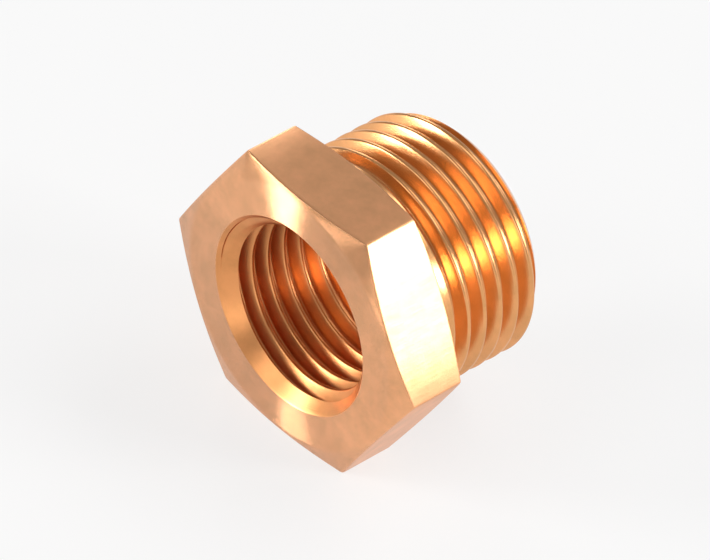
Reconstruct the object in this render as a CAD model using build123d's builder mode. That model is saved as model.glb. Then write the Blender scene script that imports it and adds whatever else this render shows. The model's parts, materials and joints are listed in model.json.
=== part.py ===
from build123d import *
from math import cos, floor, radians, sin, tan
import os

# A reducing hex bushing, turned in one piece from hexagon bar.
# A flat of its hexagon faces down, and the bore axis is along Y. The origin is
# on that axis, in the plane of the shoulder: the head reaches back from it
# towards -Y and the male thread forwards to +Y.
# All sizes are in millimetres and all angles in degrees.

# Hexagon head. Its corners are turned off by a shallow cone at both ends.
across_flats = 19.0
head_height = 5.0
corner_cone_diameter = 18.4  # where the cone meets each end face of the head
corner_cone_angle = 16.0  # between the cone and the end face

# Male thread: parallel pipe thread, 3/8 nominal.
male_major_diameter = 16.662
male_length = 9.0  # from the end face to the shoulder under the head
male_plain_length = 1.2  # left plain beside the shoulder
male_end_chamfer = 1.0

# Female thread: parallel pipe thread, 1/4 nominal, tapped right through.
female_major_diameter = 13.157
first_groove_depth = 1.35  # from the head's face to the middle of the first groove
countersink_diameter = 13.6  # in the head's face
end_countersink_diameter = 13.2  # in the male end face
countersink_angle = 90.0

# Whitworth form, shared by both threads: a sharp V of the given flank angle,
# with a sixth of its height cut off the crest and as much rounded off the root.
pitch = 1.337  # 19 threads per inch
flank_angle = 27.5  # half of the 55 degree V
sharp_height = pitch / (2 * tan(radians(flank_angle)))
truncation = sharp_height / 6
thread_depth = sharp_height - 2 * truncation
groove_half_width = (thread_depth + truncation) * tan(radians(flank_angle))
root_radius = truncation / (1 / sin(radians(flank_angle)) - 1)

male_radius = male_major_diameter / 2
bore_radius = female_major_diameter / 2 - thread_depth
countersink_radius = countersink_diameter / 2
end_countersink_radius = end_countersink_diameter / 2
countersink_slope = 1 / tan(radians(countersink_angle / 2))
countersink_depth = (countersink_radius - bore_radius) * countersink_slope
end_countersink_depth = (end_countersink_radius - bore_radius) * countersink_slope
corner_radius = across_flats / 2 / cos(radians(30))
corner_cone_radius = corner_cone_diameter / 2
corner_drop = (corner_radius - corner_cone_radius) * tan(radians(corner_cone_angle))


def thread_groove():
    """Section of one groove: the crest line is X = 0 and the root lies towards +X."""
    # The V is carried past the crest line, so that it cuts the whole crest away.
    with BuildSketch() as groove:
        with BuildLine():
            Polyline(
                (-truncation, -pitch / 2),
                (sharp_height - truncation, 0),
                (-truncation, pitch / 2),
                close=True,
            )
        make_face()
        fillet(groove.vertices().sort_by(Axis.X)[-1], radius=root_radius)
    return groove.sketch


def groove_centres(radius, first):
    """Groove centres on a crest line at this radius, a pitch apart from first to the male end."""
    count = floor((male_length - first) / pitch) + 1
    return [(radius, first + index * pitch) for index in range(count)]


with BuildPart() as hex_bushing:
    # Hexagon bar, turned down to the male diameter in front of the shoulder.
    with BuildSketch(Plane.XZ):
        RegularPolygon(across_flats / 2, 6, major_radius=False)
    extrude(amount=head_height)
    with BuildSketch(Plane.XZ):
        Circle(male_radius)
    extrude(amount=-male_length)

    # Turned section: the corner cones of the head, the chamfer of the male end
    # and the bore, which is countersunk at both ends.
    with BuildSketch(Plane.XY):
        with BuildLine():
            Polyline(
                (end_countersink_radius, male_length),
                (male_radius - male_end_chamfer, male_length),
                (male_radius, male_length - male_end_chamfer),
                (male_radius, 0),
                (corner_cone_radius, 0),
                (corner_radius, -corner_drop),
                (corner_radius, corner_drop - head_height),
                (corner_cone_radius, -head_height),
                (countersink_radius, -head_height),
                (bore_radius, countersink_depth - head_height),
                (bore_radius, male_length - end_countersink_depth),
                close=True,
            )
        make_face()
    revolve(axis=Axis.Y, mode=Mode.INTERSECT)

    # Male thread: its grooves start in front of the plain stretch.
    with BuildSketch(Plane.XY):
        with Locations(*groove_centres(male_radius, male_plain_length + groove_half_width)):
            add(thread_groove(), rotation=180)
    revolve(axis=Axis.Y, mode=Mode.SUBTRACT)

    # Female thread.
    with BuildSketch(Plane.XY):
        with Locations(*groove_centres(bore_radius, first_groove_depth - head_height)):
            add(thread_groove())
    revolve(axis=Axis.Y, mode=Mode.SUBTRACT)

hex_bushing.part.label = "hex_bushing"

os.makedirs("parts", exist_ok=True)
export_step(hex_bushing.part, "parts/hex_bushing.step")
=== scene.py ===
import json
from math import ceil, cos, floor, hypot, pi, radians, sin, tan

import bmesh
import bpy
from mathutils import Matrix, Vector


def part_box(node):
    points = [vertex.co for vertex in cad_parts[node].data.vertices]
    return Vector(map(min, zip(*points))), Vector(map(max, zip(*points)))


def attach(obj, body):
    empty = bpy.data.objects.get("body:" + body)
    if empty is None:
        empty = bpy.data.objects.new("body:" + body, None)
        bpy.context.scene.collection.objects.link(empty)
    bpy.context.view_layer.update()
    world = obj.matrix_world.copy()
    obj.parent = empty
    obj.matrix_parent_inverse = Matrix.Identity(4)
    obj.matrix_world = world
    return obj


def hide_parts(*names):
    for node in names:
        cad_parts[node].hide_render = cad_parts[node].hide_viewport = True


# A brass reducing hex bushing. A flat of its hexagon faces down, and the bore
# axis is along Y. Meshes are made in millimetres and brought to metres at the end.

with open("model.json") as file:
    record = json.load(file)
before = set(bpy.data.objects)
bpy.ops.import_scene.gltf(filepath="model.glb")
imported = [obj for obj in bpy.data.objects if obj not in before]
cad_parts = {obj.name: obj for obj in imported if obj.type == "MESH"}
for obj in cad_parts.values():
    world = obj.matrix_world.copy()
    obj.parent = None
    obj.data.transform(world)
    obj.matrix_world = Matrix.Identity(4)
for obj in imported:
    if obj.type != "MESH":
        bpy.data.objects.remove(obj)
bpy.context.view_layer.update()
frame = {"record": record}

MM = 0.001

# ---------------------------------------------------------------- sizes, in mm

low, high = (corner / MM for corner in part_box("hex_bushing"))
mounts = {mount["name"]: mount for mount in frame["record"]["mounts"]}

head_face = low.y
shoulder = 0.0
male_end = high.y
across_flats = high.z - low.z
male_radius = mounts["male_thread"]["dims"]["r_mm"]
bore_radius = mounts["female_thread"]["dims"]["r_mm"]

# Head: the cones that turn the corners off, and the small edge roundings.
corner_cone_radius = 9.2
corner_cone_angle = 16.0
hexagon_edge_rounding = 0.15
cone_edge_rounding = 0.16
mouth_rounding = 0.06

# Cones of the bore and of the male end, all at 45 degrees.
countersink_radius = 6.8
end_countersink_radius = 6.6
end_chamfer = 1.0

# Whitworth form of both threads.
pitch = 1.337
flank_angle = 27.5
sharp_height = pitch / (2 * tan(radians(flank_angle)))
truncation = sharp_height / 6
thread_depth = sharp_height - 2 * truncation
crest_half_width = truncation * tan(radians(flank_angle))
root_radius = truncation / (1 / sin(radians(flank_angle)) - 1)
crest_rounding = 0.17
male_crest_start = 2.56   # a crest of the male thread crosses the +X side here
female_crest_start = -2.13
run_out_start = 0.7       # the male thread fades out from here ...
run_out_end = 2.0         # ... to here, on its way to the shoulder

# Fineness of the mesh.
steps = 192               # round the axis; a multiple of 6, so that columns meet the corners
root_points = 9
crest_points = 6
flank_points = 2
bevel_segments = 2
same_place = 0.0001       # vertices this close are one
on_circle = 0.01          # how far off a circle its vertices may lie
sharp_angle = 25.0        # edges sharper than this aren't shaded smooth
corner_angle = 30.0       # the hexagon's own edges turn by more than this


# ---------------------------------------------------------------- mesh helpers

def arc(centre, radius, first, last, count):
    """Points of an arc, with angles measured from +Y of the section towards +X."""
    angles = [radians(first + (last - first) * i / (count - 1)) for i in range(count)]
    return [(centre[0] + radius * sin(a), centre[1] + radius * cos(a)) for a in angles]


def line(start, end, count):
    """Points strictly between two ends."""
    return [
        tuple(a + (b - a) * i / (count + 1) for a, b in zip(start, end))
        for i in range(1, count + 1)
    ]


def thread_section():
    """One pitch of thread as (along, depth) points, from the middle of one crest to the next."""
    turn = 90 - flank_angle
    crest_centre = (crest_half_width - crest_rounding * tan(radians(turn / 2)), crest_rounding)
    root_centre = (pitch / 2, thread_depth - root_radius)
    crest = arc(crest_centre, crest_rounding, 0, turn, crest_points)
    crest = [(x, 2 * crest_rounding - y) for x, y in crest]
    root = arc(root_centre, root_radius, -turn, 0, root_points // 2 + 1)
    half = crest + line(crest[-1], root[0], flank_points) + root
    return half + [(pitch - x, y) for x, y in reversed(half[:-1])]


def add_wire(bm, points):
    """A wire through (radius, along) points, in the half plane X > 0 of the XY plane."""
    verts = [bm.verts.new((radius, along, 0)) for radius, along in points]
    edges = [bm.edges.new(pair) for pair in zip(verts, verts[1:])]
    return verts + edges


def merge_close(bm):
    bmesh.ops.remove_doubles(bm, verts=bm.verts, dist=same_place)


def radius_of(point):
    return hypot(point.x, point.z)


def is_lengthwise(edge):
    """True for an edge that lies in one half plane through the axis."""
    a, b = (v.co for v in edge.verts)
    small_turn = 0.001 * pi / steps
    return abs(a.x * b.z - a.z * b.x) < radius_of(a) * radius_of(b) * small_turn


def score(bm, beyond):
    """Draws a clean line of edges where beyond(point) passes through nought.

    Each lengthwise edge that crosses the line gives up its nearer end, which
    slides along it to the crossing. Returns the vertices that lie beyond.
    """
    side = {v: beyond(v.co) for v in bm.verts}
    slid = {}
    for edge in filter(is_lengthwise, bm.edges):
        a, b = edge.verts
        if side[a] * side[b] < 0:
            share = side[a] / (side[a] - side[b])
            slid[a if share < 0.5 else b] = a.co.lerp(b.co, share)
    for vert, point in slid.items():
        vert.co = point
    bmesh.ops.connect_verts(bm, verts=list(slid))
    return [v for v in bm.verts if v not in slid and side[v] > 0]


def cut_off(bm, beyond):
    bmesh.ops.delete(bm, geom=score(bm, beyond), context="VERTS")


def turn_to(bm, beyond, cone_radius):
    """Moves what lies beyond a cone onto it. cone_radius gives its radius at a place along the axis."""
    for vert in score(bm, beyond):
        scale = cone_radius(vert.co.y) / radius_of(vert.co)
        vert.co.x *= scale
        vert.co.z *= scale


# ---------------------------------------------------------------- the bushing

def threaded_tube(crest_radius, groove_side, crest_start, start, end, fade):
    """A tube whose wall is a right-handed thread.

    It runs a turn or two past start and end, to be cut off there. groove_side is 1
    where the grooves go away from the axis and -1 where they go towards it.
    fade scales their depth at a place along the axis.
    """
    bm = bmesh.new()
    first = crest_start + pitch * floor((start - crest_start) / pitch - 1)
    turns = ceil((end - first) / pitch) + 1
    section = thread_section()
    points = []
    for turn in range(turns):
        for along, depth in section:
            y = first + turn * pitch + along
            points.append((crest_radius + groove_side * depth, y))
    bmesh.ops.spin(
        bm,
        geom=add_wire(bm, points),
        cent=(0, 0, 0),
        axis=(0, 1, 0),
        dvec=(0, pitch / steps, 0),
        angle=2 * pi,
        steps=steps,
    )
    merge_close(bm)
    for vert in bm.verts:
        depth = radius_of(vert.co) - crest_radius
        scale = (crest_radius + depth * fade(vert.co.y)) / radius_of(vert.co)
        vert.co.x *= scale
        vert.co.z *= scale
    return bm


def smooth_step(value, low_end, high_end):
    t = min(max((value - low_end) / (high_end - low_end), 0), 1)
    return t * t * (3 - 2 * t)


def male_thread():
    bm = threaded_tube(
        male_radius, -1, male_crest_start, shoulder, male_end,
        lambda y: smooth_step(y, run_out_start, run_out_end),
    )

    def chamfer(y):
        return male_radius - end_chamfer + (male_end - y)

    turn_to(bm, lambda p: radius_of(p) - chamfer(p.y), chamfer)
    cut_off(bm, lambda p: p.y - male_end)
    cut_off(bm, lambda p: shoulder - p.y)
    return bm


def female_thread():
    bm = threaded_tube(bore_radius, 1, female_crest_start, head_face, male_end, lambda y: 1)

    def countersink(y):
        return countersink_radius - (y - head_face)

    def end_countersink(y):
        return end_countersink_radius - (male_end - y)

    turn_to(bm, lambda p: countersink(p.y) - radius_of(p), countersink)
    turn_to(bm, lambda p: end_countersink(p.y) - radius_of(p), end_countersink)
    cut_off(bm, lambda p: p.y - male_end)
    cut_off(bm, lambda p: head_face - p.y)
    return bm


def spin_closed(bm, points):
    bmesh.ops.spin(
        bm,
        geom=add_wire(bm, points),
        cent=(0, 0, 0),
        axis=(0, 1, 0),
        dvec=(0, 0, 0),
        angle=2 * pi,
        steps=steps,
        use_merge=True,
    )


def head():
    """The turned blank of the head, then the six flats cut from it."""
    bm = bmesh.new()
    corner_radius = across_flats / 2 / cos(radians(30))
    beyond_corners = 1.05 * corner_radius
    cone_drop = (beyond_corners - corner_cone_radius) * tan(radians(corner_cone_angle))
    spin_closed(bm, [
        (countersink_radius, head_face),
        (corner_cone_radius, head_face),
        (beyond_corners, head_face + cone_drop),
        (beyond_corners, shoulder - cone_drop),
        (corner_cone_radius, shoulder),
        (male_radius, shoulder),
    ])
    for index in range(6):
        outward = Matrix.Rotation(radians(30 + 60 * index), 3, "Y") @ Vector((1, 0, 0))
        cut = bmesh.ops.bisect_plane(
            bm,
            geom=bm.verts[:] + bm.edges[:] + bm.faces[:],
            dist=same_place / 10,
            plane_co=outward * across_flats / 2,
            plane_no=outward,
            clear_outer=True,
        )
        rim = [e for e in cut["geom_cut"] if isinstance(e, bmesh.types.BMEdge)]
        bmesh.ops.edgenet_fill(bm, edges=rim)
    return bm


def end_ring():
    bm = bmesh.new()
    spin_closed(bm, [(end_countersink_radius, male_end), (male_radius - end_chamfer, male_end)])
    return bm


def ring_edges(bm, radius, along):
    """The edges of a circle about the axis."""
    def on_it(vert):
        return abs(radius_of(vert.co) - radius) < on_circle and abs(vert.co.y - along) < on_circle

    return [e for e in bm.edges if all(map(on_it, e.verts))]


def hexagon_edges(bm):
    """The edges between the flats, and between the flats and the corner cones."""
    flat_radius = across_flats / 2 - on_circle
    return [
        e for e in bm.edges
        if all(radius_of(v.co) > flat_radius for v in e.verts)
        and e.calc_face_angle(0) > radians(corner_angle)
    ]


def bevel(bm, edges, width):
    bmesh.ops.bevel(
        bm,
        geom=edges,
        affect="EDGES",
        offset=width,
        segments=bevel_segments,
        profile=0.5,
        material=-1,
        clamp_overlap=True,
    )


def finish_of(face):
    """Which finish a face of the mesh takes."""
    middle = face.calc_center_median()
    radius = radius_of(middle)
    if radius < countersink_radius:
        return TAPPED
    if middle.y > shoulder - same_place:
        return THREAD
    if radius > corner_cone_radius and abs(face.normal.y) < 0.5:
        return FLAT
    return FACE if middle.y < (head_face + shoulder) / 2 else THREAD


def make_bushing():
    bm = bmesh.new()
    for make in (head, male_thread, female_thread, end_ring):
        part = make()
        mesh = bpy.data.meshes.new("part")
        part.to_mesh(mesh)
        part.free()
        bm.from_mesh(mesh)
        bpy.data.meshes.remove(mesh)
    merge_close(bm)
    bmesh.ops.recalc_face_normals(bm, faces=bm.faces)
    bevel(bm, hexagon_edges(bm), hexagon_edge_rounding)
    for along in (head_face, shoulder):
        bevel(bm, ring_edges(bm, corner_cone_radius, along), cone_edge_rounding)
    bevel(bm, ring_edges(bm, countersink_radius, head_face), mouth_rounding)
    bevel(bm, ring_edges(bm, male_radius - end_chamfer, male_end), mouth_rounding)
    bevel(bm, ring_edges(bm, end_countersink_radius, male_end), mouth_rounding)
    for edge in bm.edges:
        edge.smooth = edge.calc_face_angle(0) < radians(sharp_angle)
    for face in bm.faces:
        face.smooth = True
        face.material_index = finish_of(face)
    bmesh.ops.scale(bm, vec=(MM, MM, MM), verts=bm.verts)
    mesh = bpy.data.meshes.new("hex_bushing_turned")
    bm.to_mesh(mesh)
    bm.free()
    piece = bpy.data.objects.new("hex_bushing_turned", mesh)
    bpy.context.scene.collection.objects.link(piece)
    weighted = piece.modifiers.new("Weighted Normal", "WEIGHTED_NORMAL")
    weighted.keep_sharp = True
    return piece


FACE, FLAT, THREAD, TAPPED = range(4)
bushing = make_bushing()

# ---------------------------------------------------------------- materials

class Wire:
    """The value that runs from a socket. Sums with it add Math nodes."""

    def __init__(self, recipe, socket):
        self.recipe = recipe
        self.socket = socket

    def maths(self, operation, *values):
        return self.recipe.node("ShaderNodeMath", dict(enumerate(values)), operation=operation)

    def __add__(self, other):
        return self.maths("ADD", self, other)

    def __sub__(self, other):
        return self.maths("SUBTRACT", self, other)

    def __mul__(self, other):
        return self.maths("MULTIPLY", self, other)

    def __truediv__(self, other):
        return self.maths("DIVIDE", self, other)

    def __pow__(self, other):
        return self.maths("POWER", self, other)

    def __radd__(self, other):
        return self.maths("ADD", other, self)

    def __rsub__(self, other):
        return self.maths("SUBTRACT", other, self)

    def __rmul__(self, other):
        return self.maths("MULTIPLY", other, self)

    def __rtruediv__(self, other):
        return self.maths("DIVIDE", other, self)


class Recipe:
    """The nodes of a material or of the world."""

    def __init__(self, owner):
        owner.use_nodes = True
        self.owner = owner
        self.tree = owner.node_tree
        self.shader = self.tree.nodes.get("Principled BSDF")

    def node(self, kind, inputs=(), output=0, **settings):
        node = self.tree.nodes.new(kind)
        for name, value in settings.items():
            setattr(node, name, value)
        self.feed(node, dict(inputs))
        return Wire(self, node.outputs[output])

    def feed(self, node, inputs):
        for name, value in inputs.items():
            if isinstance(value, Wire):
                self.tree.links.new(value.socket, node.inputs[name])
            else:
                node.inputs[name].default_value = value

    def vector(self, operation, *values, output=0):
        return self.node("ShaderNodeVectorMath", dict(enumerate(values)), output, operation=operation)

    def scaled(self, vector, factor):
        return self.node("ShaderNodeVectorMath", {"Vector": vector, "Scale": factor}, operation="SCALE")

    def joined(self, x, y, z):
        return self.node("ShaderNodeCombineXYZ", {"X": x, "Y": y, "Z": z})

    def noise(self, vector, scale, detail=2.0, roughness=0.5):
        """Noise about nought, mostly within -0.5 to 0.5."""
        inputs = {"Vector": vector, "Scale": scale, "Detail": detail, "Roughness": roughness}
        return self.node("ShaderNodeTexNoise", inputs) - 0.5


# Duller patches.
patch_fineness = 0.6              # per mm
patch_contrast = 2.4
average_dullness = 0.4
dull_share = (0.80, 0.83, 0.80)   # what is left of the colour in the dullest places

# Turning grooves, counted outwards from the axis and along it.
axis_share = 0.37                 # how much a length along the axis counts beside one outwards
wander = 2.0                      # how far a groove strays, in grooves
wander_fineness = 3.0             # per mm
outward_lean = 0.7                # under 1, so that most of a groove leans outward

# Lines of the drawn bar: how fast they change along the axis, beside across it.
line_stretch = 0.02


def brass_recipe(name, colour, roughness):
    """Brass with soft patches that are a little duller."""
    recipe = Recipe(bpy.data.materials.new(name))
    recipe.point = recipe.scaled(recipe.node("ShaderNodeTexCoord", output="Object"), 1 / MM)
    recipe.normal = recipe.node("ShaderNodeNewGeometry", output="Normal")
    recipe.x, recipe.y, recipe.z = (
        recipe.node("ShaderNodeSeparateXYZ", {0: recipe.point}, axis) for axis in "XYZ"
    )
    patches = recipe.noise(recipe.point, patch_fineness, detail=4.0, roughness=0.6)
    dullness = patches * patch_contrast + average_dullness
    dull = tuple(value * share for value, share in zip(colour, dull_share))
    mixed = recipe.node(
        "ShaderNodeMix",
        {0: dullness, 6: (*colour, 1), 7: (*dull, 1)},
        output=2,
        data_type="RGBA",
    )
    recipe.feed(recipe.shader, {"Base Color": mixed, "Metallic": 1.0, "Roughness": roughness})
    return recipe


def tilt(recipe, direction, slope):
    """Leans the surface's normal along a direction by a slope."""
    leant = recipe.vector("ADD", recipe.normal, recipe.scaled(direction, slope))
    recipe.feed(recipe.shader, {"Normal": recipe.vector("NORMALIZE", leant)})


def turned_brass(name, colour, roughness, feed, inward, outward):
    """Brass turned on a lathe: rounded grooves, one feed apart, run round the axis.

    Their sides lean between the slopes inward and outward, and most lean outward.
    """
    recipe = brass_recipe(name, colour, roughness)
    radius = recipe.vector("LENGTH", recipe.joined(recipe.x, 0.0, recipe.z), output="Value")
    section = recipe.joined(radius, recipe.y, 0.0)
    grooves = (radius + recipe.y * axis_share) / feed
    across = grooves + recipe.noise(section, wander_fineness) * wander
    slope = inward + across.maths("FRACT", across) ** outward_lean * (outward - inward)
    round_axis = recipe.joined(0.0 - recipe.z, 0.0, recipe.x)
    along = recipe.vector("NORMALIZE", recipe.vector("CROSS_PRODUCT", round_axis, recipe.normal))
    tilt(recipe, along, slope)
    return recipe.owner


def drawn_brass(name, colour, roughness, slope, fineness, roll):
    """Brass of the drawn bar: fine lines along the axis, on flats that roll over a little.

    The roll grows towards the corners of the hexagon.
    """
    recipe = brass_recipe(name, colour, roughness)
    drawn_out = recipe.vector("MULTIPLY", recipe.point, (1.0, line_stretch, 1.0))
    lines = recipe.noise(drawn_out, fineness)
    across = recipe.vector("CROSS_PRODUCT", (0.0, 1.0, 0.0), recipe.normal)
    across = recipe.vector("NORMALIZE", across)
    from_middle = recipe.vector("DOT_PRODUCT", recipe.point, across, output="Value")
    share = from_middle / (across_flats / 2 * tan(radians(30)))
    tilt(recipe, across, lines * slope + share * share * share * roll)
    return recipe.owner


peach_brass = (0.90, 0.435, 0.215)
yellow_brass = (0.84, 0.40, 0.165)
# The tapped thread is the same brass, painted darker and redder: painted shade inside the bore.
shaded_bore_brass = (0.78, 0.33, 0.125)
finishes = {
    FACE: turned_brass("turned face", peach_brass, 0.2, 0.05, -0.85, 0.8),
    FLAT: drawn_brass("drawn flat", peach_brass, 0.34, 0.12, 30.0, 0.12),
    THREAD: turned_brass("cut thread", yellow_brass, 0.25, 0.05, -0.05, 0.05),
    TAPPED: turned_brass("tapped thread", shaded_bore_brass, 0.34, 0.05, -0.1, 0.1),
}
for material in finishes.values():
    bushing.data.materials.append(material)
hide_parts("hex_bushing")
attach(bushing, "root")

# ---------------------------------------------------------------- the setting

def is_seen(recipe):
    """1 for what is seen, mirrored or seen through glass, and 0 for what only lights a surface."""
    camera, glossy, transmission = (
        recipe.node("ShaderNodeLightPath", output=f"Is {kind} Ray")
        for kind in ("Camera", "Glossy", "Transmission")
    )
    return camera + glossy + transmission


floor_reach = 1.5   # metres from the middle to each side
floor_glow = 0.72   # how much plain white is mixed in where it is seen
floor_mesh = bpy.data.meshes.new("floor")
bm = bmesh.new()
bmesh.ops.create_grid(bm, x_segments=1, y_segments=1, size=floor_reach)
bmesh.ops.translate(bm, vec=(0, 0, low.z * MM), verts=bm.verts)
bm.to_mesh(floor_mesh)
bm.free()
floor_piece = bpy.data.objects.new("floor", floor_mesh)
bpy.context.scene.collection.objects.link(floor_piece)
paper = Recipe(bpy.data.materials.new("white paper"))
paper.feed(paper.shader, {"Base Color": (0.88, 0.88, 0.88, 1), "Roughness": 0.9})
glow = paper.node("ShaderNodeEmission", {"Color": (1, 1, 1, 1), "Strength": 1.0})
lit = Wire(paper, paper.shader.outputs[0])
shown = paper.node("ShaderNodeMixShader", {0: is_seen(paper) * floor_glow, 1: lit, 2: glow})
paper.feed(paper.tree.nodes["Material Output"], {"Surface": shown})
floor_mesh.materials.append(paper.owner)

# The world is a little brighter where it is seen, or mirrored in the metal, than as a light.
room_light = 0.27
room_shown = 0.40
bpy.context.scene.world = bpy.data.worlds.new("studio")
room = Recipe(bpy.context.scene.world)
room_strength = is_seen(room) * (room_shown - room_light) + room_light
room.feed(room.tree.nodes["Background"], {"Color": (1, 1, 1, 1), "Strength": room_strength})

lamp_distance = 1.2   # metres


def soft_box(name, bearing, elevation, width, height, brightness):
    """A rectangular lamp aimed at the origin.

    Its place and its apparent size are in degrees, with bearings from +X
    towards +Y. A brightness of 1 is as bright as a white world.
    """
    place = Vector((cos(radians(elevation)) * cos(radians(bearing)),
                    cos(radians(elevation)) * sin(radians(bearing)),
                    sin(radians(elevation)))) * lamp_distance
    light = bpy.data.lights.new(name, "AREA")
    light.shape = "RECTANGLE"
    light.size = 2 * lamp_distance * tan(radians(width / 2))
    light.size_y = 2 * lamp_distance * tan(radians(height / 2))
    light.energy = brightness * pi * light.size * light.size_y
    lamp = bpy.data.objects.new(name, light)
    bpy.context.scene.collection.objects.link(lamp)
    lamp.matrix_world = Matrix.Translation(place) @ place.to_track_quat("Z", "Y").to_matrix().to_4x4()


soft_box("back soft box", 70, 55, 44, 18, 3.6)
soft_box("front soft box", 260, 40, 20, 16, 3.6)
soft_box("right strip", 35, 16, 20, 11, 27)
soft_box("left lamp", 145, 18, 13, 20, 4.7)
soft_box("front lamp", 227, 13, 18, 17, 22)
soft_box("front right lamp", 312, 10, 40, 12, 2.9)

# The camera stands far off and looks down over the head's right side, a little
# rolled. Its place is given from the middle of the head's face.
camera_right = Vector((0.66655, 0.74127, 0.07897))
camera_up = Vector((-0.53435, 0.40123, 0.74397))
camera_back = Vector((0.5198, -0.53809, 0.66353))
camera_distance = 578.17
camera_offset = (4.094, 2.237)
focal_length_px = 9375
picture_width_px = 710

camera = bpy.data.cameras.new("camera")
camera.sensor_width = 36
camera.lens = camera.sensor_width * focal_length_px / picture_width_px
camera.clip_start = 0.01
camera.clip_end = 10
camera_piece = bpy.data.objects.new("camera", camera)
bpy.context.scene.collection.objects.link(camera_piece)
place = Vector((0, head_face, 0)) + camera_right * camera_offset[0]
place += camera_up * camera_offset[1] + camera_back * camera_distance
turn = Matrix((camera_right, camera_up, camera_back)).transposed().to_4x4()
camera_piece.matrix_world = Matrix.Translation(place * MM) @ turn
bpy.context.scene.camera = camera_piece

bpy.context.scene.view_settings.view_transform = "Standard"
